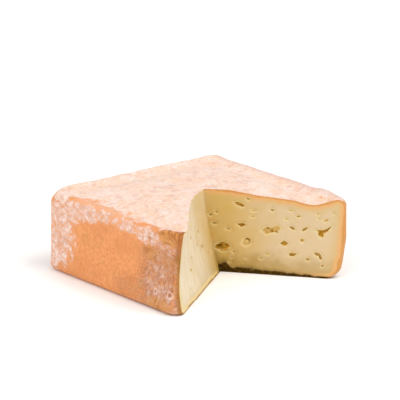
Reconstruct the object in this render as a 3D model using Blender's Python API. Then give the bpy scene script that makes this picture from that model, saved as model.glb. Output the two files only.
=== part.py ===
"""A square washed-rind soft cheese, standing on its flat face, with one quarter cut out of it.

The cheese is 126 mm square and 50 mm high. Two knife cuts run from its corners to its middle, so the
side that faces -Y is missing. X and Y run along the sides, Z is up, and the origin is under the middle
of the box round the cheese.
"""

import math
import random

import bmesh
import bpy
from mathutils import Vector, noise

MM = 0.001

# The whole cheese, as it came out of its square mould
SIDE = 126 * MM
HEIGHT = 50.5 * MM
CORNER_RADIUS = 7 * MM
TOP_EDGE = Vector((4.5, 5)) * MM  # how far the rounding reaches inwards, and down from the top
FOOT_EDGE_LEFT = Vector((4, 4)) * MM
FOOT_EDGE_RIGHT = Vector((8, 7)) * MM

# What ripening did to it. Each corner of the square moved a little: its signs along X and Y, and how far
# its top and its foot moved
CORNER_SHIFTS = (
    ((-1, 1), Vector((-1.8, 2.5, 0.7)) * MM, Vector((-2.4, 3.2, 0)) * MM),
    ((-1, -1), Vector((-0.5, -1, -0.4)) * MM, Vector((-5.8, 0.5, 0)) * MM),
    ((1, -1), Vector((2, -3.5, 0.4)) * MM, Vector((-0.5, -1.5, 0)) * MM),
    ((1, 1), Vector((2.4, 1, 2.7)) * MM, Vector((0.5, 0, 0)) * MM),
)
FOOT_SPREAD_ABOVE = 33 * MM  # the foot's share of that fades out up to here
MOAT_DEPTH = 3.8 * MM  # the top has sunk in a band behind its rim
MOAT_FROM_SIDE = 10.5 * MM
MOAT_WIDTH = 9 * MM
MOAT_SQUARENESS = 8
MIDDLE_SAG = 1.2 * MM
SAG_WIDTH = 24 * MM
# Where the rim stands higher or lower than that: place in the plan, reach and rise, in millimetres
RIM_BUMPS = (((62, -43), 9, 2.3), ((62, -12), 34, 1.2), ((-44, 60), 15, 1.4), ((-62, 62), 6.5, -3.8))
SLUMP = 2.8 * MM  # the top has slumped along the right cut, most from halfway out
SLUMP_GROWS = (8 * MM, 42 * MM)  # from the tip
SLUMP_FADES = (62 * MM, 84 * MM)
SLUMP_REACH = 11 * MM
WAVE_HEIGHT = 0.9 * MM
WAVE_LENGTH = 33 * MM
WRINKLE_HEIGHT = 0.35 * MM
WRINKLE_LENGTH = 9 * MM
NOISE_SEED = 3

# The two cuts, as points of the plan where each one starts and where they meet
LEFT_START_TOP = Vector((-59, -60.5)) * MM
LEFT_START_FOOT = Vector((-56.7, -58)) * MM
RIGHT_START_TOP = Vector((61.5, -65.3)) * MM
RIGHT_START_FOOT = Vector((58.6, -67.8)) * MM
TIP_TOP = Vector((8, 3.3)) * MM
TIP_FOOT = Vector((12, -7.2)) * MM
TIP_CURVE = 1.6  # the knives drifted more towards the foot
LEFT_BOW = 4.5 * MM  # the left cut bows into the cheese along its top
LEFT_BOW_LEAN = 2.1  # a quarter of the way out from the tip
LEFT_HOLLOW = 2.4 * MM  # and halfway down its outer end
CUT_WAVE_HEIGHT = 0.35 * MM
CUT_WAVE_LENGTH = 21 * MM
CUT_OVERSHOOT = 1.4  # the cutter runs past the sides
CUT_MARGIN = 9 * MM  # and past the top and the foot

# Eyes: the openings in the paste. Each one is how far it lies from the tip of the top, its height above
# the foot, its length, its height, its depth, its slope in degrees and how much its ends turn up
EYES = {
    "right": (
        (21.8, 42.4, 6.5, 2.5, 2, -20, 0),
        (27.2, 45.9, 2.5, 1.3, 0.9, -12, 0),
        (4, 34.8, 2.7, 1.5, 1, -10, 0),
        (7.7, 36.6, 1.9, 1.6, 0.8, 0, 0),
        (6.6, 29.5, 3.1, 1.4, 0.9, 0, 0),
        (30, 35.2, 2.9, 1.2, 0.6, 0, 0),
        (30.3, 38.9, 3.4, 1.1, 0.6, 0, 0),
        (42.2, 39.9, 2.7, 1.3, 1, -6, 0),
        (53.6, 40.4, 3, 1.1, 0.6, 0, 0),
        (58.2, 37, 2.7, 1.4, 0.9, 0, 0),
        (50.9, 34.9, 1.7, 0.9, 0.5, 0, 0),
        (23.2, 29.6, 5, 2.7, 2.2, 0, 0.1),
        (15, 26.8, 3.7, 1.5, 0.8, -8, 0),
        (41.4, 27.7, 12.2, 4.3, 1.9, 9, 0.1),
        (54.7, 29.5, 4.5, 1.6, 1.4, -22, 0),
        (62.4, 29.5, 5, 1.6, 1.2, 32, 0),
        (73.5, 28.6, 10.3, 3.5, 2.6, 16, 0.25),
        (75.2, 35.6, 3.2, 1.4, 0.8, 20, 0),
        (70.1, 39.3, 1.6, 1, 0.5, 0, 0),
        (70.8, 36.4, 1.7, 1.1, 0.6, 0, 0),
        (26.8, 19.9, 6.2, 4.1, 1.7, 0, -0.15),
        (11.2, 15.3, 8.7, 4.5, 3.6, 6, 0),
        (18.9, 12.8, 2.6, 1.3, 0.8, 0, 0),
        (17.8, 9.6, 1.8, 1, 0.7, 12, 0),
        (49.9, 19.8, 4.5, 3.2, 2.2, 0, 0),
        (60.7, 22.5, 2.6, 2.2, 0.9, 0, 0),
        (55.1, 13.4, 5, 2.6, 1.4, 4, 0.1),
        (71.5, 14.2, 5.6, 2.1, 1.6, -42, 0),
        (64.5, 11, 3.1, 1.8, 1, 0, 0),
        (39.7, 12.7, 2.3, 1.1, 0.6, 0, 0),
    ),
    "left": (
        (22.8, 30, 2.6, 2, 1, 10, 0),
        (22.1, 20.9, 3.6, 2.4, 0.9, 0, 0.1),
        (33.3, 25.2, 2.8, 1.7, 0.8, -8, 0.1),
        (11.6, 14.2, 2.4, 1.5, 0.8, 0, 0),
        (50.4, 33.9, 2.9, 1.7, 0.8, 12, 0),
        (61, 17.5, 3.4, 1.9, 0.9, 5, 0.1),
    ),
}
SMALL_EYES = {"right": 5, "left": 8}
SMALL_EYE_LENGTH = (1.3 * MM, 2.3 * MM)
SMALL_EYE_SHAPE = (0.4, 0.75)  # its height as a share of its length
SMALL_EYE_DEPTH = 0.4  # its depth, too
SMALL_EYE_SLOPE = 28
EYE_SINK = 0.2  # how deep an eye's middle lies, as a share of its depth
EYE_MARGIN = 4.4 * MM  # clear of the rind
EYE_GAP = 1.5 * MM
EYE_ROUGHNESS = 0.16
EYE_SEED = 7

# How fine the faceted solid is
PLAN_CUTS = 33
SIDE_CUTS = 11
WALL_CUTS = 11
CROWDING = 0.55  # how much the grid closes up towards the edges
FINE_EYE_FROM = 4 * MM

RIND_COLOUR = (0.83, 0.42, 0.17, 1)
PASTE_COLOUR = (0.83, 0.66, 0.38, 1)


def clamp(value, low, high):
    return max(low, min(high, value))


def smooth_step(value, low, high):
    share = clamp((value - low) / (high - low), 0, 1)
    return share * share * (3 - 2 * share)


def remove_everything():
    for thing in list(bpy.data.objects):
        bpy.data.objects.remove(thing)


def material(name, colour, roughness):
    made = bpy.data.materials.new(name)
    made.use_nodes = True
    shader = made.node_tree.nodes["Principled BSDF"]
    shader.inputs["Base Color"].default_value = colour
    shader.inputs["Roughness"].default_value = roughness
    shader.inputs["Metallic"].default_value = 0
    return made


def rounded(across, up, reach):
    """A point of a square profile, moved onto the profile with its corner rounded by reach."""
    kept = Vector((min(across, SIDE / 2 - reach.x), min(up, HEIGHT / 2 - reach.y)))
    turn = Vector(((across - kept.x) / reach.x, (up - kept.y) / reach.y))
    if turn.length > 0:
        turn.normalize()
    return kept.x + reach.x * turn.x, kept.y + reach.y * turn.y


def plan_outline(direction):
    """The point of the rounded square plan that lies towards a point of the unit square's edge."""
    corner = SIDE / 2 - CORNER_RADIUS
    out = Vector([component * SIDE / 2 for component in direction])
    kept = Vector([clamp(component, -corner, corner) for component in out])
    return kept + (out - kept).normalized() * CORNER_RADIUS


def fresh_point(cube_point):
    """A point of the cube from -1 to 1, moved onto the cheese as it came out of its mould."""
    ring = max(abs(cube_point.x), abs(cube_point.y))
    foot_edge = FOOT_EDGE_LEFT.lerp(FOOT_EDGE_RIGHT, (1 + cube_point.x) / 2)
    reach = TOP_EDGE if cube_point.z > 0 else foot_edge
    across, up = rounded(ring * SIDE / 2, abs(cube_point.z) * HEIGHT / 2, reach)
    height = HEIGHT / 2 + math.copysign(up, cube_point.z)
    if ring == 0:
        return Vector((0, 0, height))
    plan = plan_outline((cube_point.x / ring, cube_point.y / ring)) * across / (SIDE / 2)
    return Vector((plan.x, plan.y, height))


def sunken(point):
    """How far the top has sunk at a point of the plan."""
    power = MOAT_SQUARENESS
    inside = SIDE / 2 - (abs(point.x) ** power + abs(point.y) ** power) ** (1 / power)
    moat = MOAT_DEPTH * math.exp(-(((inside - MOAT_FROM_SIDE) / MOAT_WIDTH) ** 2))
    return moat + MIDDLE_SAG * smooth_step(inside, 0, SAG_WIDTH)


def slumped(point):
    """How far the top has slumped along the right cut at a point of the plan."""
    out = RIGHT_START_TOP - TIP_TOP
    from_tip = (point.xy - TIP_TOP).dot(out.normalized())
    away = (point.xy - TIP_TOP).dot(out.orthogonal().normalized()) / SLUMP_REACH
    along = smooth_step(from_tip, *SLUMP_GROWS) * (1 - 0.5 * smooth_step(from_tip, *SLUMP_FADES))
    return SLUMP * along * math.exp(-(away**2))


def rim_bump(point):
    """How far the rim stands higher at a point of the plan."""
    total = 0
    for place, reach, rise in RIM_BUMPS:
        away = (point.xy - Vector(place) * MM).length / (reach * MM)
        total += rise * MM * math.exp(-(away**2))
    return total


def ripened(fresh):
    """A point of the fresh cheese after it has sunk, settled and wrinkled. The foot stays flat."""
    point = fresh.copy()
    across, along = fresh.x / (SIDE / 2), fresh.y / (SIDE / 2)
    up = smooth_step(fresh.z, 0, FOOT_SPREAD_ABOVE)
    for signs, top_shift, foot_shift in CORNER_SHIFTS:
        weight = (1 + signs[0] * across) * (1 + signs[1] * along) / 4
        point += foot_shift.lerp(top_shift, up) * weight
    rise = rim_bump(fresh) - sunken(fresh) - slumped(fresh)
    point.z += rise * smooth_step(fresh.z, 0.35 * HEIGHT, HEIGHT)
    wave = noise.noise_vector(fresh / WAVE_LENGTH) * WAVE_HEIGHT
    wrinkle = noise.noise_vector(fresh / WRINKLE_LENGTH) * WRINKLE_HEIGHT
    return point + (wave + wrinkle) * smooth_step(fresh.z, 0, 0.2 * HEIGHT)


def crowded(value):
    """A grid line's place from -1 to 1, moved towards the nearer edge."""
    return value + CROWDING * math.sin(math.pi * value) / math.pi


def edges_along(mesh, axis):
    others = [other for other in range(3) if other != axis]
    return [
        edge
        for edge in mesh.edges
        if all(abs(edge.verts[0].co[other] - edge.verts[1].co[other]) < 1e-6 for other in others)
    ]


def gridded_cube(cuts):
    """A cube from -1 to 1, whose faces are cut into a grid by so many cuts along X, Y and Z."""
    mesh = bmesh.new()
    bmesh.ops.create_cube(mesh, size=2)
    for axis, count in enumerate(cuts):
        bmesh.ops.subdivide_edges(mesh, edges=edges_along(mesh, axis), cuts=count, use_grid_fill=True)
    return mesh


def add_object(name, mesh, *materials):
    data = bpy.data.meshes.new(name)
    mesh.to_mesh(data)
    mesh.free()
    for one in materials:
        data.materials.append(one)
    made = bpy.data.objects.new(name, data)
    bpy.context.scene.collection.objects.link(made)
    return made


def as_cutter(cutter):
    cutter.hide_render = True
    cutter.display_type = "WIRE"
    return cutter


def whole_cheese(rind):
    mesh = gridded_cube((PLAN_CUTS, PLAN_CUTS, SIDE_CUTS))
    for vertex in mesh.verts:
        on_grid = Vector([crowded(component) for component in vertex.co])
        vertex.co = ripened(fresh_point(on_grid))
    return add_object("cheese", mesh, rind)


def tip_at(height):
    """Where the two cuts meet at a height, as a point of the plan."""
    down = clamp(1 - height / HEIGHT, 0, 1) ** TIP_CURVE
    return TIP_TOP.lerp(TIP_FOOT, down)


def cut_start(side, height):
    """Where a cut leaves the cheese at a height, as a point of the plan."""
    up = height / HEIGHT
    if side == "left":
        return LEFT_START_FOOT.lerp(LEFT_START_TOP, up)
    return RIGHT_START_FOOT.lerp(RIGHT_START_TOP, up)


def cut_directions(side, height):
    """Away from the tip along a cut, and from the cut into the cheese, as directions of the plan."""
    along = (cut_start(side, height) - tip_at(height)).normalized()
    into = Vector((along.y, -along.x)) if side == "left" else Vector((-along.y, along.x))
    return along, into


def cut_point(side, share, height):
    """A point of a cut face: share runs from 0 at the tip to 1 where the cut leaves the cheese."""
    along, into = cut_directions(side, height)
    plan = tip_at(height).lerp(cut_start(side, height), share)
    if side == "left":
        up = clamp(height / HEIGHT, 0, 1)
        bow = LEFT_BOW * up * math.sin(math.pi * clamp(1 - share, 0, 1) ** LEFT_BOW_LEAN)
        hollow = LEFT_HOLLOW * math.sin(math.pi * up) * smooth_step(share, 0.2, 1)
        plan += into * (bow + hollow)
    drift = noise.noise(Vector((plan.x, plan.y, height)) / CUT_WAVE_LENGTH)
    plan += into * drift * CUT_WAVE_HEIGHT * clamp(6 * share, 0, 1)
    return Vector((plan.x, plan.y, height))


def missing_quarter():
    """The cutter for the missing quarter: its faces at x = -1 and y = -1 of the cube are the two cuts."""
    mesh = gridded_cube((WALL_CUTS, WALL_CUTS, WALL_CUTS))
    for vertex in mesh.verts:
        to_left, to_right, up = [(component + 1) / 2 for component in vertex.co]
        height = -CUT_MARGIN + up * (HEIGHT + 2 * CUT_MARGIN)
        tip = cut_point("left", 0, height)
        left = cut_point("left", to_left * CUT_OVERSHOOT, height) - tip
        right = cut_point("right", to_right * CUT_OVERSHOOT, height) - tip
        vertex.co = tip + left + right
    return as_cutter(add_object("missing_quarter", mesh))


def cut_length(side, height):
    return (cut_start(side, height) - tip_at(height)).length


def chosen_eyes(side):
    """The eyes of one cut face: from the tip, up, length, height, depth, slope in radians and turn."""
    eyes = [(*[number * MM for number in eye[:5]], math.radians(eye[5]), eye[6]) for eye in EYES[side]]
    draw = random.Random(EYE_SEED + len(side))
    wanted = len(eyes) + SMALL_EYES[side]
    while len(eyes) < wanted:
        length = draw.uniform(*SMALL_EYE_LENGTH)
        height = length * draw.uniform(*SMALL_EYE_SHAPE)
        up = draw.uniform(EYE_MARGIN, HEIGHT - 2 * EYE_MARGIN)
        along = draw.uniform(EYE_MARGIN, cut_length(side, up) - EYE_MARGIN)
        slope = math.radians(draw.uniform(-SMALL_EYE_SLOPE, SMALL_EYE_SLOPE))
        near = (
            math.hypot(along - other[0], up - other[1]) < (length + other[2]) / 2 + EYE_GAP
            for other in eyes
        )
        if not any(near):
            eyes.append((along, up, length, height, length * SMALL_EYE_DEPTH, slope, 0))
    return eyes


def add_eye(mesh, side, eye, seed):
    """One eye as a closed lens with pointed ends, laid in a cut face."""
    from_tip, up, length, height, depth, slope, turn = eye
    along, into = [direction.to_3d() for direction in cut_directions(side, up)]
    tip_drift = (tip_at(up) - TIP_TOP).to_3d().dot(along)
    centre = cut_point(side, (from_tip - tip_drift) / cut_length(side, up), up)
    lengthwise = along * math.cos(slope) + Vector((0, 0, 1)) * math.sin(slope)
    upwards = Vector((0, 0, 1)) * math.cos(slope) - along * math.sin(slope)
    levels = 2 if length > FINE_EYE_FROM else 1
    made = bmesh.ops.create_icosphere(mesh, subdivisions=levels, radius=1)
    for vertex in made["verts"]:
        ball = vertex.co.copy()
        rough = 1 + EYE_ROUGHNESS * noise.noise(ball * 1.7 + Vector((seed * 3.1, 0, 0)))
        pinch = 1 - 0.45 * ball.x**2
        out = ball.x * length / 2 * rough
        above = ball.z * height / 2 * pinch * rough + turn * height * (ball.x**2 * 2 - 0.5)
        deep = (ball.y * (1 - EYE_SINK) * rough + EYE_SINK) * depth
        vertex.co = centre + lengthwise * out + upwards * above + into * deep


def all_eyes():
    mesh = bmesh.new()
    for side in EYES:
        for number, eye in enumerate(chosen_eyes(side)):
            add_eye(mesh, side, eye, number + len(side))
    bmesh.ops.recalc_face_normals(mesh, faces=mesh.faces)
    return as_cutter(add_object("eyes", mesh))


def cut_away(thing, cutter):
    cut = thing.modifiers.new(cutter.name, "BOOLEAN")
    cut.operation = "DIFFERENCE"
    cut.solver = "EXACT"
    cut.object = cutter


def centre_over_origin(things):
    """Moves the cheese and its cutters so that the box round the cheese stands over the origin."""
    bpy.context.view_layer.update()
    graph = bpy.context.evaluated_depsgraph_get()
    corners = [Vector(corner) for corner in things[0].evaluated_get(graph).bound_box]
    middle = (corners[0] + corners[6]) / 2
    for thing in things:
        thing.location -= Vector((middle.x, middle.y, corners[0].z))


def main():
    remove_everything()
    noise.seed_set(NOISE_SEED)
    rind = material("washed_rind", RIND_COLOUR, 0.75)
    paste = material("ripe_paste", PASTE_COLOUR, 0.5)
    cheese = whole_cheese(rind)
    quarter, eyes = missing_quarter(), all_eyes()
    for cutter in (quarter, eyes):
        cutter.data.materials.append(paste)
        cut_away(cheese, cutter)
    cheese.data.shade_smooth()
    cheese.data.set_sharp_from_angle(angle=math.radians(40))
    centre_over_origin((cheese, quarter, eyes))


main()
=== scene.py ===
"""Dresses a square washed-rind soft cheese with a quarter cut out of it, and sets it in a pale studio.

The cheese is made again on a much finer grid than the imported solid, with the same sizes, so that its rind
can wrinkle and its eyes can have ragged walls. Lengths are in metres, X and Y run along the sides, Z is up.
"""

import math
import random

import bmesh
import bpy
import numpy
from mathutils import Matrix, Vector, noise
from mathutils.bvhtree import BVHTree


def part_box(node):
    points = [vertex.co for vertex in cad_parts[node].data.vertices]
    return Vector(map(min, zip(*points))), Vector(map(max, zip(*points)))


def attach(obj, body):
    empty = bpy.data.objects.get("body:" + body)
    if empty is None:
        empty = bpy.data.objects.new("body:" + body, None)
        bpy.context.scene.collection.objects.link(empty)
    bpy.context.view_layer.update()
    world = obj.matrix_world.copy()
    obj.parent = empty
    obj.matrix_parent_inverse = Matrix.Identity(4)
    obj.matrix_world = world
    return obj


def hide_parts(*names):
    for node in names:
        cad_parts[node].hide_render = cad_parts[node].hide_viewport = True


bl_info = {
    "name": "Washed-rind cheese with a quarter cut out",
    "version": (1, 0, 0),
    "blender": (4, 5, 0),
    "location": "View3D > Sidebar > Cheese",
    "description": "Makes a square soft cheese with a washed rind, ripe paste and eyes, and its studio",
    "category": "Add Mesh",
}

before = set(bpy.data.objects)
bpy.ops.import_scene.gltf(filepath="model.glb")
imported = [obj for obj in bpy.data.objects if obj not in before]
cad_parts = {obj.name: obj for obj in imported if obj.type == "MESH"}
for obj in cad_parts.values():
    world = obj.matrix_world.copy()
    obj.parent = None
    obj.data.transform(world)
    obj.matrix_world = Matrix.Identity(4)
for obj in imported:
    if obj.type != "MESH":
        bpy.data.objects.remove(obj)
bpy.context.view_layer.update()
CHEESE_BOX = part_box("cheese")

MM = 0.001

# The whole cheese, as it came out of its square mould
CORNER_RADIUS = 7 * MM
TOP_EDGE = Vector((4.5, 5)) * MM  # how far the rounding reaches inwards, and down from the top
FOOT_EDGE_LEFT = Vector((4, 4)) * MM
FOOT_EDGE_RIGHT = Vector((8, 7)) * MM

# What ripening did to it. Each corner of the square moved: its signs along X and Y, and how far its top and
# its foot moved
CORNER_SHIFTS = (
    ((-1, 1), Vector((-1.8, 2.5, 0.7)) * MM, Vector((-2.4, 3.2, 0)) * MM),
    ((-1, -1), Vector((-0.5, -1, -0.4)) * MM, Vector((-5.8, 0.5, 0)) * MM),
    ((1, -1), Vector((2, -3.5, 0.4)) * MM, Vector((-0.5, -1.5, 0)) * MM),
    ((1, 1), Vector((2.4, 1, 2.7)) * MM, Vector((0.5, 0, 0)) * MM),
)
FOOT_SPREAD_ABOVE = 33 * MM  # the foot's share of that fades out up to here
RISE_FROM = 0.35  # the top's rising and sinking grow from this share of the height
ROUGH_FROM_FOOT = 0.2  # and the unevenness grows from the foot up to this one
MOAT_FROM_SIDE = 10.5 * MM
MOAT_WIDTH = 9 * MM
MOAT_SQUARENESS = 8
MIDDLE_SAG = 1.2 * MM
SAG_WIDTH = 24 * MM
# Where the rim stands higher or lower than that: place in the plan, reach and rise, in millimetres
RIM_BUMPS = (((62, -43), 9, 2.3), ((62, -12), 34, 1.2), ((-44, 60), 15, 1.4), ((-62, 62), 6.5, -3.8))
SLUMP = 2.8 * MM  # the top has slumped along the right cut, most from halfway out
SLUMP_GROWS = (8 * MM, 42 * MM)  # from the tip
SLUMP_FADES = (62 * MM, 84 * MM)
SLUMP_KEPT = 0.5  # what is left of it at the side
SLUMP_REACH = 11 * MM
WAVE_LENGTH = 33 * MM
WRINKLE_LENGTH = 9 * MM
CREASE_LENGTH = 2.8 * MM  # the finest folds of the rind
NOISE_SEED = 3

# The two cuts, as points of the plan where each one starts and where they meet
LEFT_START_TOP = Vector((-59, -60.5)) * MM
LEFT_START_FOOT = Vector((-56.7, -58)) * MM
RIGHT_START_TOP = Vector((61.5, -65.3)) * MM
RIGHT_START_FOOT = Vector((58.6, -67.8)) * MM
TIP_TOP = Vector((8, 3.3)) * MM
TIP_FOOT = Vector((12, -7.2)) * MM
TIP_CURVE = 1.6  # the knives drifted more towards the foot
LEFT_BOW = 4.5 * MM  # the left cut bows into the cheese along its top
LEFT_BOW_LEAN = 2.1  # most of all a quarter of the way out from the tip
LEFT_HOLLOW = 2.4 * MM  # and it is hollow halfway down its outer end
LEFT_HOLLOW_FROM = 0.2  # which starts at this share of its length
CUT_WAVE_HEIGHT = 0.35 * MM
CUT_WAVE_LENGTH = 21 * MM
CUT_DRAG_HEIGHT = 0.07 * MM  # what the knife dragged up
CUT_DRAG_LENGTH = 3 * MM
CUT_WAVES_GROW = 1 / 6  # both start at the tip and grow over this share of a cut's length
CUT_OVERSHOOT = 1.12  # the cutter runs past the sides
CUT_MARGIN = 5 * MM  # and past the top and the foot

# Eyes: the openings in the paste. Each one is how far it lies from the tip of the top, its height above
# the foot, its length, its height, its depth and, if any, its slope in degrees and how much its ends turn up
EYES = {
    "right": (
        (21.8, 42.4, 6.5, 2.5, 2, -20),
        (27.2, 45.9, 2.5, 1.3, 0.9, -12),
        (4, 34.8, 2.7, 1.5, 1, -10),
        (7.7, 36.6, 1.9, 1.6, 0.8),
        (6.6, 29.5, 3.1, 1.4, 0.9),
        (30, 35.2, 2.9, 1.2, 0.6),
        (30.3, 38.9, 3.4, 1.1, 0.6),
        (42.2, 39.9, 2.7, 1.3, 1, -6),
        (53.6, 40.4, 3, 1.1, 0.6),
        (58.2, 37, 2.7, 1.4, 0.9),
        (50.9, 34.9, 1.7, 0.9, 0.5),
        (23.2, 29.6, 5, 2.7, 2.2, 0, 0.1),
        (15, 26.8, 3.7, 1.5, 0.8, -8),
        (41.2, 27.5, 12.2, 3.6, 0.9, 9, 0.1),
        (54.7, 29.5, 4.5, 1.6, 1.4, -22),
        (62.4, 29.5, 5, 1.6, 1.2, 32),
        (73.9, 29.3, 11, 2.1, 2.6, 16, 0.6),
        (75.2, 35.6, 3.2, 1.4, 0.8, 20),
        (70.1, 39.3, 1.6, 1, 0.5),
        (70.8, 36.4, 1.7, 1.1, 0.6),
        (26.2, 19, 6, 4.8, 0.6),
        (11.9, 15.5, 10.4, 5.6, 3.8, 6),
        (18.9, 12.8, 2.6, 1.3, 0.8),
        (17.8, 9.6, 1.8, 1, 0.7, 12),
        (49.9, 19.8, 4.5, 3.2, 2.2),
        (60.7, 22.5, 2.6, 2.2, 0.9),
        (55.1, 13.4, 5, 2.6, 1.4, 4, 0.1),
        (70.3, 14.6, 4.2, 2.1, 1.5, -22),
        (64.5, 11, 3.1, 1.8, 1),
        (39.7, 12.7, 2.3, 1.1, 0.6),
    ),
    "left": (
        (22.8, 30, 2.6, 2, 1, 10),
        (22.1, 20.9, 3.6, 2.4, 0.9, 0, 0.1),
        (33.3, 25.2, 2.8, 1.7, 0.8, -8, 0.1),
        (11.6, 14.2, 2.4, 1.5, 0.8),
        (50.4, 33.9, 2.9, 1.7, 0.8, 12),
        (61, 17.5, 3.4, 1.9, 0.9, 5, 0.1),
    ),
}
# Deeper parts of the right cut's eyes, given the same way, in layers whose eyes don't touch each other
DEEPER_EYES = (
    (
        (39.6, 28.5, 2.4, 1.6, 1.9, -20),
        (41.8, 26.9, 2.4, 1.8, 2.3),
        (44.9, 26.6, 2.2, 1.1, 1.7, -10),
    ),
    (
        (23.2, 41.7, 3.4, 2.1, 2.4, -20),
        (23.7, 29.5, 2.8, 1.8, 3),
        (38.9, 27.1, 4.6, 4.2, 1.1),
        (45, 28.8, 4.6, 4.2, 0.8),
        (72.2, 27.3, 4.4, 3.6, 3, -78),
        (72.3, 12.8, 3.2, 1.9, 1.6, -76),
        (27.4, 20.8, 4.8, 1.6, 2.1, -16, -0.35),
        (9.3, 15.2, 4.8, 2.7, 5, 4),
        (50.6, 20.3, 2.4, 1.6, 2.9, -30),
        (54.6, 12.7, 3.6, 0.9, 1.9),
    ),
)
SMALL_EYES = {"right": 5, "left": 4}
SMALL_EYE_LENGTH = (1.3 * MM, 2.3 * MM)
SMALL_EYE_SHAPE = (0.4, 0.75)  # its height as a share of its length
SMALL_EYE_DEPTH = 0.4  # its depth, too
SMALL_EYE_SLOPE = 28
EYE_SINK = 0.2  # how deep an eye's middle lies, as a share of its depth
EYE_MARGIN = 4.4 * MM  # clear of the rind
EYE_GAP = 1.5 * MM
EYE_PINCH = 0.45  # how much its height shrinks towards its ends
EYE_ROUGHNESS = 0.3
EYE_RAGGEDNESS = 0.14  # finer bumps of its wall
EYE_BUMPS = (1.7, 2.7)  # how dense its bumps are, and how many times denser the finer ones are
EYE_BUMPS_APART = 3.1  # each eye takes its bumps from so much further on
EYE_SEED = 7

# How fine the dressed cheese is
PLAN_CUTS = 151
SIDE_CUTS = 55
WALL_CUTS = 141
DEPTH_CUTS = 95
CROWDING = 0.3  # how much the grid closes up towards the edges
EYE_LEVELS = 3
FINER_EYES_FROM = (3.4 * MM, 8 * MM)  # an eye has one more level from each of these lengths
SHORTEST = 1e-6  # an edge of the unit cube that is shorter along an axis doesn't run along it
FOOT_LEVEL = 0.0001 * MM  # what lies lower is the flat foot

# Where the rind shows what, as patches: middle, reach along X, Y and Z, and strength. In millimetres
PATCHES = {
    "bloom": (
        ((-64, 60, 23), (12, 25, 23), 0.9),
        ((-64, 46, 40), (8, 16, 9), 0.95),
        ((-64, 28, 43), (8, 15, 7), 0.85),
        ((-63, 10, 45), (6, 12, 6), 0.65),
        ((-62, -12, 44), (6, 12, 5), 0.7),
        ((-62, -32, 42), (6, 14, 6), 0.85),
        ((-62, -50, 39), (6, 13, 4), 0.55),
        ((-64, -42, 15), (8, 13, 20), 0.5),
        ((-64, -54, 8), (6, 9, 12), 0.55),
        ((-66, 62, 6), (8, 6, 8), 0.5),
        ((20, 66, 20), (50, 8, 20), 0.6),
        ((66, 20, 34), (8, 46, 14), 0.75),
        ((66, -50, 14), (8, 14, 16), 0.6),
        ((-40, 66, 40), (30, 8, 12), 0.8),
    ),
    "smear": (
        ((-63, -48, 18), (10, 25, 30), 0.95),
        ((-64, -20, 8), (8, 20, 10), 0.35),
        ((66, 44, 20), (8, 24, 20), 0.7),
        ((-10, 66, 14), (26, 8, 14), 0.6),
    ),
    "web": (
        ((-62, -32, 42), (6, 14, 6), 0.9),
        ((-64, -46, 15), (8, 18, 20), 0.95),
        ((66, 44, 20), (8, 24, 20), 0.8),
        ((10, 66, 24), (30, 8, 18), 0.7),
    ),
    "flush": (
        ((-58, 14, 48), (12, 32, 7), 0.85),
        ((-62, -10, 44), (8, 14, 5), 0.5),
    ),
    "brown": (
        ((-60, -53, 45), (8, 12, 6), 1.0),
        ((-63, -34, 33), (5, 7, 6), 0.6),
        ((-66, -47, 4), (7, 14, 5), 0.75),
        ((-63, -52, 30), (4, 6, 6), 0.2),
    ),
    "scratched": (((-62, -50, 38), (6, 12, 5), 1.0),),
}
PATCH_FADES = (0.55, 1.15)  # a patch fades out between these shares of its reach
# The little rings of bloom: middle along Y and Z and radius, in millimetres
RINGS = (((-42.5, 11.3), 1.5), ((-56.5, 12), 1.8))
RING_WARP = 0.9 * MM
RING_LINE = (0.1 * MM, 0.9 * MM)  # how far off itself the ring's line fades out
RING_GRAIN = (0.3, 0.65)  # and the grain in its middle, as shares of the radius
FAN_CENTRE = Vector((-62, -62, 40)) * MM  # where the dried patch's strokes come together
FAN_WIDTH = 9 * MM  # how far a radian of the fan is in the strokes' noise
FAN_DRAW = 0.12  # and how far a metre out from its centre is

# How deep the rind's colour reaches into the cut faces
RIND_DEPTH = {"side": 2.5 * MM, "right_top": 2.3 * MM, "left_top": 0.4 * MM, "foot": 2 * MM}
# The dark band at the foot of the right cut, dried rind darkened with painted contact shadow: how high it is
# by the tip and further out
BAND_BY_TIP = 5.2 * MM
BAND_FURTHER = 3 * MM
BAND_NARROWS = (2 * MM, 9 * MM)
BAND_THINS = (10 * MM, 72 * MM)
BAND_THIN = 0.25  # what is left of it there
BAND_LEAST = 0.1 * MM
BAND_FROM_TIP = 1 * MM  # it fades in over this, up to the tip
LEFT_CUT_FADES = 6 * MM  # and the left cut's own colours fade out over this

# How far inside the sides the top's colour starts. By the middle of the left side it starts further in, and
# behind, which is on the right and at the back, outside the rim. Those two begin at these shares of the side
TOP_STARTS = 2.2 * MM
TOP_STARTS_LATER = 8 * MM
LATER_PLACE = 18 * MM
LATER_REACH = 24 * MM
LATER_LEFT_OF = -0.3
TOP_STARTS_BEHIND = -11 * MM
RIGHT_FROM = (-0.2, 0.1)
BACK_FROM = (0.3, 0.45)
BACK_STRENGTH = 0.75
TOP_FADES_IN = (-3.5 * MM, 9.5 * MM)  # before and after that
TOP_ABOVE = (0.86, 0.97)  # shares of the height, where it starts by the sides
TOP_AT_ANY_HEIGHT = (2 * MM, 6 * MM)  # and how far inside them it no longer matters
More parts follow.
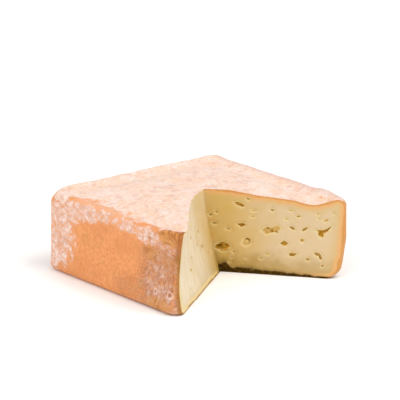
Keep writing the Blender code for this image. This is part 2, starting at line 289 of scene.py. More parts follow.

# Where the rind is darker: along the left cut, so many millimetres from it, and wider and browner higher up
# by the dried patch, partly painted shade where the corner turns away; by the right corner, browner rind
# partly darkened with painted shade; and at the foot on the right, painted shade
DRIED_AND_SHADED_EDGE = (0.4, 2.8)
WIDE_EDGE = (1.5, 5)
WIDE_EDGE_ABOVE = (28 * MM, 34 * MM)
BROWN_EDGE_ABOVE = (33 * MM, 39 * MM)
DRIED_AND_SHADED_EDGE_ENDS = (-55 * MM, -45 * MM)
RIGHT_EDGE_X = (50 * MM, 57 * MM)
RIGHT_EDGE_Y = (-50 * MM, -56 * MM)
RIND_FOOT_SHADE_X = (20 * MM, 50 * MM)
RIND_FOOT_SHADE_Z = (1 * MM, 9 * MM)
FAR_RIM_X = (59 * MM, 63 * MM)  # where the top's far rim is greyer, partly bloom and partly painted shade, on the right and at the back
FAR_RIM_Y = (60 * MM, 64 * MM)

# Where the paste is riper, and where painted shade darkens it by the tip and towards the foot. Reaches from
# the tip, the rind and an eye are in millimetres
TIP_SHADE_REACH = 43
FOOT_SHADE_HEIGHT = (3 * MM, 17 * MM)
FOOT_SHADE_SWING = 3 * MM
FOOT_SHADE_FADES = (15, 60)
# The rind in section is darkened at the foot by painted contact shadow, with the skin's own browner tone
LOW_RIND_X = (38 * MM, 54 * MM)  # the rind in section is darker at the foot, but not by the right corner
LOW_RIND_Z = (2 * MM, 8 * MM)
LIP_WIDTH = (0.1, 1.5)

NOISE_RANGE = (0.3, 0.7)  # where nearly all of a noise lies
STREAK_TURN = math.radians(-39)  # the way that the rack's streaks run over the top
# The finishes' noises: how long their clouds are in millimetres, detail, roughness and distortion, how many
# times longer they are along the axes, and how far those are turned about Z
RIND_NOISE = {
    "cloud": (15, 2, 0.5),
    "patchy": (9, 4, 0.65),
    "blotch": (6, 3, 0.6, 0.5),
    "moist": (6, 3, 0.6),
    "mottle": (4.5, 3, 0.6),
    "crooked": (4, 4, 0.65),
    "streaks": (4, 3, 0.6, 0, (4, 1, 1), STREAK_TURN),
    "dust": (2.2, 3, 0.65),
    "flakes": (1.8, 2, 0.55, 0, (1.5, 1.5, 1)),
    "scratches": (1.4, 2, 0.6, 0, (1, 5, 1)),
    "grain": (1.3, 2, 0.6),
}
STROKE_NOISE = (1.6, 2, 0.6)
PASTE_NOISE = {
    "blotch": (9, 3, 0.55),
    "clump": (5.5, 2, 0.4),
    "bands": (4.5, 3, 0.5, 0.4, (1, 1, 6)),
    "curd": (1.5, 3, 0.55),
}
LINING_NOISE = (1.2, 3, 0.55)
FLOOR_NOISE = ((400, 2, 0.5), (2, 2, 0.5))

# Their coats, from the first to the last: a colour, the noise that it follows, between which limits it
# grows, and how strong it is at these, if not 0 and 1
WASH_COATS = (
    ("deep_orange", "cloud", 0.4, 0.64, 0, 0.35),
    ("deep_orange", "dust", 0.44, 0.58, 0, 0.5),
    ("red", "grain", 0.4, 0.62, 0, 0.25),
    ("ochre", "blotch", 0.54, 0.66, 0, 0.4),
)
SMEAR_COATS = (
    ("red", "mottle", 0.36, 0.6, 0.45, 1),
    ("ochre", "blotch", 0.48, 0.58, 0, 0.75),
    ("lilac_bloom", "moist", 0.48, 0.58, 0, 0.24),
    ("dark_smear", "grain", 0.46, 0.6, 0, 0.62),
)
BLOOM_COATS = (
    ("lilac_bloom", "moist", 0.5, 0.6, 0, 0.5),
    ("ochre", "blotch", 0.52, 0.62, 0, 0.32),
)
TOP_COATS = (
    ("pale_top", "patchy", 0.38, 0.62),
    ("flush", "streaks", 0.48, 0.7, 0, 0.2),
    ("flush", "mottle", 0.52, 0.68, 0, 0.5),
    ("flush", "blotch", 0.53, 0.62, 0, 0.5),
    ("lilac_bloom", "moist", 0.53, 0.64, 0, 0.4),
    ("bloom", "dust", 0.46, 0.62, 0, 0.6),
)
# The same of an eye's lining, by how many millimetres deep it lies; the last coat is painted shade at the
# bottoms of deep eyes
LINING_COATS = (
    ("amber", "depth", -0.1, 0.8),
    ("deep_amber", "depth", 1.1, 2.4),
    ("band_olive", "depth", 2.6, 4, 0, 0.35),
)
# The rind's layers in section: their colours on the right and the left cut, and between which shares of the
# rind's depth they fade out
RIND_LAYERS = (("rind_inner", "eye_lip", 0.7, 1.9), ("rind_edge", "rind_ochre", 0.2, 0.75))

SHARP_ANGLE = math.radians(40)  # an edge that bends further stays sharp

# The studio. A light is its name, the direction that it shines from, its distance, size and power
FLOOR_RADIUS = 8
FLOOR_CORNERS = 96
FLOOR_DROP = 0.1 * MM  # below the cheese's foot
SKY_STRENGTH = 0.78
LIGHTS = (
    ("key_light", (0.25, -0.75, 1.2), 4, 2.2, 70),
    ("fill_light", (-1.0, -0.3, 0.8), 4, 3, 45),
)

# Where the picture is taken from
CAMERA_PLACE = Vector((-1159.0, -1425.1, 560.1)) * MM
CAMERA_HEADING = math.radians(39.196)
CAMERA_PITCH = math.radians(15.64)
CAMERA_LENS = 284.92
CAMERA_SENSOR = 36
CAMERA_CLIP = 0.05


def colour(code):
    """A hex sRGB colour as linear light, with an alpha of 1."""
    parts = [int(code[place : place + 2], 16) / 255 for place in (1, 3, 5)]
    linear = [part / 12.92 if part <= 0.04045 else ((part + 0.055) / 1.055) ** 2.4 for part in parts]
    return (*linear, 1.0)


def length_setting(name, default, description):
    return bpy.props.FloatProperty(
        name=name, description=description, default=default, min=0, unit="LENGTH", precision=5
    )


def colour_setting(name, code, description):
    return bpy.props.FloatVectorProperty(
        name=name, description=description, default=colour(code), size=4, min=0, max=1, subtype="COLOR"
    )


class CheeseSizes(bpy.types.PropertyGroup):
    side: length_setting("Side", 126 * MM, "Side of the square mould")
    height: length_setting("Height", 50.5 * MM, "Height of the fresh cheese")
    moat_depth: length_setting("Moat depth", 3.8 * MM, "How deep the top has sunk behind its rim")
    wave_height: length_setting("Wave height", 0.9 * MM, "Slow unevenness of the whole surface")
    wrinkle_height: length_setting("Wrinkle height", 0.35 * MM, "Unevenness of the rind")
    crease_height: length_setting("Crease height", 0.12 * MM, "The finest folds of the rind")


class CheeseColours(bpy.types.PropertyGroup):
    orange: colour_setting("Orange", "#EA9A5A", "The rind's sides where the wash took well")
    deep_orange: colour_setting("Deep orange", "#D4803C", "Darker clouds of the sides")
    red: colour_setting("Red smear", "#BA7440", "Where the smear is strongest")
    dark_smear: colour_setting("Dark smear", "#94593A", "Grains where the smear is oldest")
    ochre: colour_setting("Ochre", "#CE8C42", "Where the wash dried")
    flush: colour_setting("Flush", "#E8AC84", "Where the sides' colour fades onto the top")
    brown: colour_setting("Brown", "#9C5404", "Dried patches of the rind")
    bloom: colour_setting("Bloom", "#F1DAD0", "White mould that grows over the wash")
    lilac_bloom: colour_setting("Lilac bloom", "#CAA79C", "Moist bloom, greyer")
    thin_bloom: colour_setting("Thin bloom", "#DAAF9A", "Thin bloom, which the wash shows through")
    peach: colour_setting("Peach", "#E8C4A8", "The top's rind")
    pale_top: colour_setting("Pale top", "#EAD4C6", "The palest clouds of the top")
    paste: colour_setting("Paste", "#D0B68E", "The ripe paste")
    # The left cut is paler than the right one
    pale_paste: colour_setting("Pale paste", "#E4D5BA", "The left cut, which is fresher")
    # Also the painted shade by the tip, in the notch's corner
    golden_paste: colour_setting("Golden paste", "#C8A455", "Riper paste by the tip and the rind")
    # Painted shade: it darkens the paste towards the foot
    foot_shade_paste: colour_setting("Foot paste", "#A68434", "Paste that dries out above the foot")
    rind_edge: colour_setting("Rind edge", "#C6883E", "The rind's skin where the knife went through it")
    rind_inner: colour_setting("Rind's inner layer", "#DBA564", "The rind's inner layer")
    rind_ochre: colour_setting("Rind edge, left", "#9A6412", "The rind's skin at the left cut")
    # Also the pale ring round each eye, partly painted highlight
    eye_lip: colour_setting("Eye's lip", "#E4CC88", "Walls of the eyes by the cut")
    amber: colour_setting("Amber", "#C79F50", "Walls of the shallow eyes")
    deep_amber: colour_setting("Deep amber", "#DFB032", "Bottoms of the eyes")
    # Dried rind darkened with painted contact shadow
    band: colour_setting("Band", "#3E2A08", "The dried band at the foot of the right cut")
    band_olive: colour_setting("Band's olive", "#8A6A24", "The band's lighter specks and its upper edge")
    floor: colour_setting("Floor", "#F9F9F8", "The studio's floor")


# Shape


def clamp(value, low, high):
    return max(low, min(high, value))


def smooth_step(value, low, high):
    share = clamp((value - low) / (high - low), 0, 1)
    return share * share * (3 - 2 * share)


def rounded(sizes, across, up, reach):
    """A point of a square profile, moved onto the profile with its corner rounded by reach."""
    kept = Vector((min(across, sizes.side / 2 - reach.x), min(up, sizes.height / 2 - reach.y)))
    turn = Vector(((across - kept.x) / reach.x, (up - kept.y) / reach.y))
    if turn.length > 0:
        turn.normalize()
    return kept.x + reach.x * turn.x, kept.y + reach.y * turn.y


def plan_outline(sizes, direction):
    """The point of the rounded square plan that lies towards a point of the unit square's edge."""
    corner = sizes.side / 2 - CORNER_RADIUS
    out = Vector([component * sizes.side / 2 for component in direction])
    kept = Vector([clamp(component, -corner, corner) for component in out])
    return kept + (out - kept).normalized() * CORNER_RADIUS


def fresh_point(sizes, cube_point):
    """A point of the cube from -1 to 1, moved onto the cheese as it came out of its mould."""
    ring = max(abs(cube_point.x), abs(cube_point.y))
    foot_edge = FOOT_EDGE_LEFT.lerp(FOOT_EDGE_RIGHT, (1 + cube_point.x) / 2)
    reach = TOP_EDGE if cube_point.z > 0 else foot_edge
    across, up = rounded(sizes, ring * sizes.side / 2, abs(cube_point.z) * sizes.height / 2, reach)
    height = sizes.height / 2 + math.copysign(up, cube_point.z)
    if ring == 0:
        return Vector((0, 0, height))
    outline = plan_outline(sizes, (cube_point.x / ring, cube_point.y / ring))
    plan = outline * across / (sizes.side / 2)
    return Vector((plan.x, plan.y, height))


def sunken(sizes, point):
    """How far the top has sunk at a point of the plan."""
    power = MOAT_SQUARENESS
    inside = sizes.side / 2 - (abs(point.x) ** power + abs(point.y) ** power) ** (1 / power)
    moat = sizes.moat_depth * math.exp(-(((inside - MOAT_FROM_SIDE) / MOAT_WIDTH) ** 2))
    return moat + MIDDLE_SAG * smooth_step(inside, 0, SAG_WIDTH)


def slumped(point):
    """How far the top has slumped along the right cut at a point of the plan."""
    out = RIGHT_START_TOP - TIP_TOP
    from_tip = (point.xy - TIP_TOP).dot(out.normalized())
    away = (point.xy - TIP_TOP).dot(out.orthogonal().normalized()) / SLUMP_REACH
    kept = 1 - (1 - SLUMP_KEPT) * smooth_step(from_tip, *SLUMP_FADES)
    along = smooth_step(from_tip, *SLUMP_GROWS) * kept
    return SLUMP * along * math.exp(-(away**2))


def rim_bump(point):
    """How far the rim stands higher at a point of the plan."""
    total = 0
    for place, reach, rise in RIM_BUMPS:
        away = (point.xy - Vector(place) * MM).length / (reach * MM)
        total += rise * MM * math.exp(-(away**2))
    return total


def ripened(sizes, fresh):
    """A point of the fresh cheese after it has sunk, settled and wrinkled. The foot stays flat."""
    point = fresh.copy()
    across, along = fresh.x / (sizes.side / 2), fresh.y / (sizes.side / 2)
    up = smooth_step(fresh.z, 0, FOOT_SPREAD_ABOVE)
    for signs, top_shift, foot_shift in CORNER_SHIFTS:
        weight = (1 + signs[0] * across) * (1 + signs[1] * along) / 4
        point += foot_shift.lerp(top_shift, up) * weight
    rise = rim_bump(fresh) - sunken(sizes, fresh) - slumped(fresh)
    point.z += rise * smooth_step(fresh.z, RISE_FROM * sizes.height, sizes.height)
    wave = noise.noise_vector(fresh / WAVE_LENGTH) * sizes.wave_height
    wrinkle = noise.noise_vector(fresh / WRINKLE_LENGTH) * sizes.wrinkle_height
    crease = noise.turbulence_vector(fresh / CREASE_LENGTH, 2, False) * sizes.crease_height
    return point + (wave + wrinkle + crease) * smooth_step(fresh.z, 0, ROUGH_FROM_FOOT * sizes.height)


def crowded(value):
    """A grid line's place from -1 to 1, moved towards the nearer edge."""
    return value + CROWDING * math.sin(math.pi * value) / math.pi


def gridded_cube(cuts):
    """A cube from -1 to 1, whose faces are cut into a grid by so many cuts along X, Y and Z."""
    mesh = bmesh.new()
    bmesh.ops.create_cube(mesh, size=2)
    for axis, count in enumerate(cuts):
        lengths = ((edge, abs(edge.verts[0].co[axis] - edge.verts[1].co[axis])) for edge in mesh.edges)
        along = [edge for edge, length in lengths if length > SHORTEST]
        bmesh.ops.subdivide_edges(mesh, edges=along, cuts=count, use_grid_fill=True)
    return mesh


def add_to_scene(name, data):
    """A mesh, a light or a camera as a new object of the scene."""
    made = bpy.data.objects.new(name, data)
    bpy.context.scene.collection.objects.link(made)
    return made


def add_object(name, mesh, materials, slot=0):
    """A bmesh as a new object, with all its faces in one of the material slots."""
    for face in mesh.faces:
        face.material_index = slot
    data = bpy.data.meshes.new(name)
    mesh.to_mesh(data)
    mesh.free()
    for one in materials:
        data.materials.append(one)
    return add_to_scene(name, data)


def whole_cheese(sizes, materials):
    mesh = gridded_cube((PLAN_CUTS, PLAN_CUTS, SIDE_CUTS))
    for vertex in mesh.verts:
        on_grid = Vector([crowded(component) for component in vertex.co])
        vertex.co = ripened(sizes, fresh_point(sizes, on_grid))
    flat = [face for face in mesh.faces if all(vertex.co.z < FOOT_LEVEL for vertex in face.verts)]
    bmesh.ops.dissolve_faces(mesh, faces=flat)
    return add_object("whole_cheese", mesh, materials)


def tip_at(sizes, height):
    """Where the two cuts meet at a height, as a point of the plan."""
    down = clamp(1 - height / sizes.height, 0, 1) ** TIP_CURVE
    return TIP_TOP.lerp(TIP_FOOT, down)


def cut_start(sizes, side, height):
    """Where a cut leaves the cheese at a height, as a point of the plan."""
    up = height / sizes.height
    if side == "left":
        return LEFT_START_FOOT.lerp(LEFT_START_TOP, up)
    return RIGHT_START_FOOT.lerp(RIGHT_START_TOP, up)


def cut_length(sizes, side, height):
    return (cut_start(sizes, side, height) - tip_at(sizes, height)).length


def cut_directions(sizes, side, height):
    """Away from the tip along a cut, and from the cut into the cheese, as directions of the plan."""
    along = (cut_start(sizes, side, height) - tip_at(sizes, height)).normalized()
    into = Vector((along.y, -along.x)) if side == "left" else Vector((-along.y, along.x))
    return along, into


def cut_point(sizes, side, share, height):
    """A point of a cut face: share runs from 0 at the tip to 1 where the cut leaves the cheese."""
    into = cut_directions(sizes, side, height)[1]
    plan = tip_at(sizes, height).lerp(cut_start(sizes, side, height), share)
    if side == "left":
        up = clamp(height / sizes.height, 0, 1)
        bow = LEFT_BOW * up * math.sin(math.pi * clamp(1 - share, 0, 1) ** LEFT_BOW_LEAN)
        hollow = LEFT_HOLLOW * math.sin(math.pi * up) * smooth_step(share, LEFT_HOLLOW_FROM, 1)
        plan += into * (bow + hollow)
    point = Vector((plan.x, plan.y, height))
    drift = noise.noise(point / CUT_WAVE_LENGTH) * CUT_WAVE_HEIGHT
    drag = noise.noise(point / CUT_DRAG_LENGTH) * CUT_DRAG_HEIGHT
    plan += into * (drift + drag) * clamp(share / CUT_WAVES_GROW, 0, 1)
    return Vector((plan.x, plan.y, height))


def missing_quarter(sizes, materials):
    """The cutter for the missing quarter: its faces at x = -1 and y = -1 of the cube are the two cuts."""
    mesh = gridded_cube((WALL_CUTS, WALL_CUTS, DEPTH_CUTS))
    for vertex in mesh.verts:
        to_left, to_right, up = [(component + 1) / 2 for component in vertex.co]
        height = -CUT_MARGIN + up * (sizes.height + 2 * CUT_MARGIN)
        tip = cut_point(sizes, "left", 0, height)
        left = cut_point(sizes, "left", to_left * CUT_OVERSHOOT, height) - tip
        right = cut_point(sizes, "right", to_right * CUT_OVERSHOOT, height) - tip
        vertex.co = tip + left + right
    return add_object("missing_quarter", mesh, materials, slot=1)


def scaled_eye(from_tip, up, length, height, depth, slope=0, turn=0):
    """An eye's numbers as lengths in metres, slope in radians and turn."""
    return (*[number * MM for number in (from_tip, up, length, height, depth)], math.radians(slope), turn)


def chosen_eyes(sizes, side):
    """The eyes of one cut face: from the tip, up, length, height, depth, slope in radians and turn."""
    eyes = [scaled_eye(*eye) for eye in EYES[side]]
    draw = random.Random(EYE_SEED + len(side))
    wanted = len(eyes) + SMALL_EYES[side]
    while len(eyes) < wanted:
        length = draw.uniform(*SMALL_EYE_LENGTH)
        height = length * draw.uniform(*SMALL_EYE_SHAPE)
        up = draw.uniform(EYE_MARGIN, sizes.height - 2 * EYE_MARGIN)
        along = draw.uniform(EYE_MARGIN, cut_length(sizes, side, up) - EYE_MARGIN)
        slope = math.radians(draw.uniform(-SMALL_EYE_SLOPE, SMALL_EYE_SLOPE))
        if all(math.hypot(along - x, up - z) >= (length + long) / 2 + EYE_GAP for x, z, long, *_ in eyes):
            eyes.append((along, up, length, height, length * SMALL_EYE_DEPTH, slope, 0))
    return eyes


def add_eye(sizes, mesh, side, eye, seed):
    """One eye as a closed lens with pointed ends and a ragged wall, laid in a cut face."""
    from_tip, up, length, height, depth, slope, turn = eye
    along, into = [direction.to_3d() for direction in cut_directions(sizes, side, up)]
    tip_drift = (tip_at(sizes, up) - TIP_TOP).to_3d().dot(along)
    centre = cut_point(sizes, side, (from_tip - tip_drift) / cut_length(sizes, side, up), up)
    lengthwise = along * math.cos(slope) + Vector((0, 0, 1)) * math.sin(slope)
    upwards = Vector((0, 0, 1)) * math.cos(slope) - along * math.sin(slope)
    levels = EYE_LEVELS + sum(length > limit for limit in FINER_EYES_FROM)
    made = bmesh.ops.create_icosphere(mesh, subdivisions=levels, radius=1)
    for vertex in made["verts"]:
        ball = vertex.co.copy()
        here = ball * EYE_BUMPS[0] + Vector((seed * EYE_BUMPS_APART, 0, 0))
        rough = 1 + EYE_ROUGHNESS * noise.noise(here) + EYE_RAGGEDNESS * noise.noise(here * EYE_BUMPS[1])
        pinch = 1 - EYE_PINCH * ball.x**2
        out = ball.x * length / 2 * rough
        above = ball.z * height / 2 * pinch * rough + turn * height * (ball.x**2 * 2 - 0.5)
        deep = (ball.y * (1 - EYE_SINK) * rough + EYE_SINK) * depth
        vertex.co = centre + lengthwise * out + upwards * above + into * deep


def lens_cutter(sizes, eyes_by_side, materials):
    """The cutter for one layer of eyes."""
    mesh = bmesh.new()
    for side, eyes in eyes_by_side.items():
        for number, eye in enumerate(eyes):
            add_eye(sizes, mesh, side, eye, number + len(side))
    bmesh.ops.recalc_face_normals(mesh, faces=mesh.faces)
    return add_object("eyes", mesh, materials, slot=2)


def cut_away(thing, cutter):
    cut = thing.modifiers.new(cutter.name, "BOOLEAN")
    cut.operation = "DIFFERENCE"
    cut.solver = "MANIFOLD"
    cut.object = cutter


def applied(thing, name):
    """The thing's mesh with its modifiers applied, as a new object."""
    graph = bpy.context.evaluated_depsgraph_get()
    data = bpy.data.meshes.new_from_object(thing.evaluated_get(graph))
    data.name = name
    return add_to_scene(name, data)


def centring_shift(thing):
    """The move that brings the middle and the foot of a thing's box to those of the solid's."""
    points = mesh_points(thing.data)
    low, high = Vector(points.min(axis=0)), Vector(points.max(axis=0))
    move = (CHEESE_BOX[0] + CHEESE_BOX[1] - low - high) / 2
    return Vector((move.x, move.y, CHEESE_BOX[0].z - low.z))


def mesh_points(data):
    points = numpy.empty(len(data.vertices) * 3)
    data.vertices.foreach_get("co", points)
    return points.reshape(-1, 3)


# What shows where


def ramp(values, low, high):
    share = numpy.clip((values - low) / (high - low), 0, 1)
    return share * share * (3 - 2 * share)


def patched(points, patches):
    """How strongly the patches cover each point, from 0 to 1."""
    bare = numpy.ones(len(points))
    for middle, reach, strength in patches:
        away = numpy.linalg.norm((points - numpy.array(middle) * MM) / (numpy.array(reach) * MM), axis=1)
        bare *= 1 - strength * (1 - ramp(away, *PATCH_FADES))
    return 1 - bare


def surface_of(thing):
    """A thing's triangles, to find the nearest point of its surface."""
    thing.data.calc_loop_triangles()
    return BVHTree.FromPolygons(
        [vertex.co for vertex in thing.data.vertices],
        [triangle.vertices for triangle in thing.data.loop_triangles],
    )


def distances(points, thing):
    surface = surface_of(thing)
    return numpy.array([surface.find_nearest(Vector(point))[3] for point in points])


def rind_share(points, whole, on_left):
    """How deep each point lies under the uncut cheese's skin, as a share of the rind's own depth there."""
    surface = surface_of(whole)
    found = [surface.find_nearest(Vector(point)) for point in points]
    depth = numpy.array([hit[3] for hit in found])
    facing = numpy.array([hit[1].z for hit in found])
    top = RIND_DEPTH["right_top"] + (RIND_DEPTH["left_top"] - RIND_DEPTH["right_top"]) * on_left
    level = numpy.where(facing > 0, top, RIND_DEPTH["foot"])
    return depth / (RIND_DEPTH["side"] + (level - RIND_DEPTH["side"]) * abs(facing))


def band_share(points):
    """How much of the dark band at the foot of the right cut shows at each point."""
    tip = numpy.array(TIP_FOOT)
    right = numpy.array(RIGHT_START_FOOT) - tip
    out = (points[:, :2] - tip) @ (right / numpy.linalg.norm(right))
    limit = BAND_FURTHER + (BAND_BY_TIP - BAND_FURTHER) * (1 - ramp(out, *BAND_NARROWS))
    limit = limit * (1 - (1 - BAND_THIN) * ramp(out, *BAND_THINS)) + BAND_LEAST
    on_right_cut = ramp(points[:, 0], TIP_FOOT.x - BAND_FROM_TIP, TIP_FOOT.x)
    return numpy.clip(1 - points[:, 2] / (2 * limit), 0, 1) * on_right_cut


def top_share(sizes, points):
    """How far each point has passed from the sides' colour to the top's."""
    x, y, z = points.T
    side, height = sizes.side, sizes.height
    inside = numpy.minimum(side / 2 - abs(x), side / 2 - abs(y))
    later = TOP_STARTS_LATER * numpy.exp(-(((y - LATER_PLACE) / LATER_REACH) ** 2))
    later = later * (x < LATER_LEFT_OF * side)
    on_right = ramp(x, *[share * side for share in RIGHT_FROM])
    at_back = BACK_STRENGTH * ramp(y, *[share * side for share in BACK_FROM])
    behind = numpy.maximum(on_right, at_back)
    start = (TOP_STARTS + later) * (1 - behind) + TOP_STARTS_BEHIND * behind
    above = ramp(z, *[share * height for share in TOP_ABOVE])
    above = numpy.maximum(above, ramp(inside, *TOP_AT_ANY_HEIGHT) * (z > height / 2))
    return ramp(inside, *[start + more for more in TOP_FADES_IN]) * above


def mark_patterns(sizes, cheese, whole, quarter, eyes):
    """Works out for each point how much bloom, smear, rind or band shows there."""
    points = mesh_points(cheese.data)
    on_left = 1 - ramp(points[:, 0], TIP_FOOT.x - LEFT_CUT_FADES, TIP_FOOT.x)
    patterns = {name: patched(points, patches) for name, patches in PATCHES.items()}
    patterns |= {
        "top": top_share(sizes, points),
        "left_cut": on_left,
        "rind": rind_share(points, whole, on_left),
        "band": band_share(points),
        "from_tip": numpy.linalg.norm(points[:, :2] - numpy.array(TIP_FOOT), axis=1) / MM,
        "from_cut": distances(points, quarter) / MM,
        "from_eye": numpy.min([distances(points, eye) for eye in eyes], axis=0) / MM,
    }
    for name, values in patterns.items():
        kept = cheese.data.attributes.new(name, "FLOAT", "POINT")
        kept.data.foreach_set("value", values.astype(numpy.float32))


# Finishes


def fill(tree, node, inputs):
    """Links each input that is given a socket, and sets any other."""
    for name, value in inputs.items():
        if isinstance(value, bpy.types.NodeSocket):
            tree.links.new(value, node.inputs[name])
        else:
            node.inputs[name].default_value = value


def add_node(tree, kind, inputs=None, output=0, **settings):
    """Adds a shader node with its settings and links, and gives one of its outputs."""
    made = tree.nodes.new(kind)
    for name, value in settings.items():
        setattr(made, name, value)
    fill(tree, made, inputs or {})
    return made.outputs[output]


def new_material(name):
    """A new material with its tree and shader, and the place of each point in metres."""
    made = bpy.data.materials.new(name)
    made.use_nodes = True
    tree = made.node_tree
    return made, tree, tree.nodes["Principled BSDF"], add_node(tree, "ShaderNodeTexCoord", output="Object")


def marks(tree, *names):
    """Patterns that were worked out for each point, by name."""
    return {name: add_node(tree, "ShaderNodeAttribute", output="Fac", attribute_name=name) for name in names}


def noise_at(tree, place, length, detail, roughness, distortion=0, times=None, turn=0):
    """Noise from 0 to 1. Its clouds are about so many millimetres long, and so many times longer along the
    axes once those have turned about Z."""
    if times:
        inputs = {"Vector": place, "Scale": times, "Rotation": (0, 0, turn)}
        place = add_node(tree, "ShaderNodeMapping", inputs, vector_type="TEXTURE")
    inputs = {"Vector": place, "Scale": 1 / (length * MM), "Detail": detail, "Roughness": roughness}
    return add_node(tree, "ShaderNodeTexNoise", {**inputs, "Distortion": distortion}, "Fac")


def share_of(tree, *steps):
    """The product of some steps. A step is a value, or it is a value with the limits that it grows between
    and what it is smoothly brought to there, if not 0 and 1."""
    total = None
    for step in steps:
        if isinstance(step, tuple):
            inputs = dict(zip(("Value", "From Min", "From Max", "To Min", "To Max"), step))
            step = add_node(tree, "ShaderNodeMapRange", inputs, interpolation_type="SMOOTHSTEP")
        if total is not None:
            step = add_node(tree, "ShaderNodeMath", {0: total, 1: step}, operation="MULTIPLY")
        total = step
    return total


def strongest(tree, *steps):
    """The greatest of some steps."""
    total = share_of(tree, steps[0])
    for step in steps[1:]:
        total = add_node(tree, "ShaderNodeMath", {0: total, 1: share_of(tree, step)}, operation="MAXIMUM")
    return total


def uneven(tree, value, *steps):
    """A value with the product of some steps added to it."""
    return add_node(tree, "ShaderNodeMath", {0: value, 1: share_of(tree, *steps)}, operation="ADD")


def swing(followed, reach):
    """The step that goes from -reach to reach as a noise goes through its usual range."""
    return (followed, *NOISE_RANGE, -reach, reach)


def off_line(tree, value, line):
    """How far a value is from the one where a line runs."""
    off = add_node(tree, "ShaderNodeMath", {0: value, 1: line}, operation="SUBTRACT")
    return add_node(tree, "ShaderNodeMath", {0: off}, operation="ABSOLUTE")


def coat(tree, ground, laid, *steps):
    """A ground colour with another laid over it, as strong as the product of some steps."""
    inputs = {0: share_of(tree, *steps), 6: ground, 7: laid}
    return add_node(tree, "ShaderNodeMix", inputs, 2, data_type="RGBA")


def coats(tree, ground, colours, look, rows, *steps):
    """A ground colour with a coat for each row of a table, each one times the product of some steps."""
    for name, followed, *limits in rows:
        ground = coat(tree, ground, getattr(colours, name), *steps, (look[followed], *limits))
    return ground


def bumps(tree, *layers):
    """Relief in layers. Each one is a height, how high it stands where that is 1, and its strength."""
    before = {}
    for height, distance, strength in layers:
        inputs = {"Height": height, "Distance": distance, "Strength": strength, **before}
        before = {"Normal": add_node(tree, "ShaderNodeBump", inputs)}
    return before["Normal"]


def fanned(tree, place):
    """Noise in strokes that come together at the fan's centre."""
    away = add_node(tree, "ShaderNodeVectorMath", {0: place, 1: FAN_CENTRE}, operation="SUBTRACT")
    parts = add_node(tree, "ShaderNodeSeparateXYZ", {0: away}).node.outputs
    angle = add_node(tree, "ShaderNodeMath", {0: parts[2], 1: parts[1]}, operation="ARCTAN2")
    far = add_node(tree, "ShaderNodeVectorMath", {0: away}, "Value", operation="LENGTH")
    inputs = {0: share_of(tree, angle, FAN_WIDTH), 1: share_of(tree, far, FAN_DRAW)}
    return noise_at(tree, add_node(tree, "ShaderNodeCombineXYZ", inputs), *STROKE_NOISE)


def ringed(tree, side, colours, look, place):
    """The side with its little rings of bloom, each round a dark grain."""
    flat = add_node(tree, "ShaderNodeVectorMath", {0: place, 1: (0, 1, 1)}, operation="MULTIPLY")
    for (along, up), radius in RINGS:
        inputs = {0: flat, 1: (0, along * MM, up * MM)}
        away = add_node(tree, "ShaderNodeVectorMath", inputs, "Value", operation="DISTANCE")
        away = uneven(tree, away, swing(look["crooked"], RING_WARP))
        line = off_line(tree, away, radius * MM), *RING_LINE, 0.6, 0
        side = coat(tree, side, colours.bloom, line, (look["grain"], 0.35, 0.6, 0.5, 1))
        grain = away, *[share * radius * MM for share in RING_GRAIN], 0.6, 0
        side = coat(tree, side, colours.dark_smear, grain)
    return side


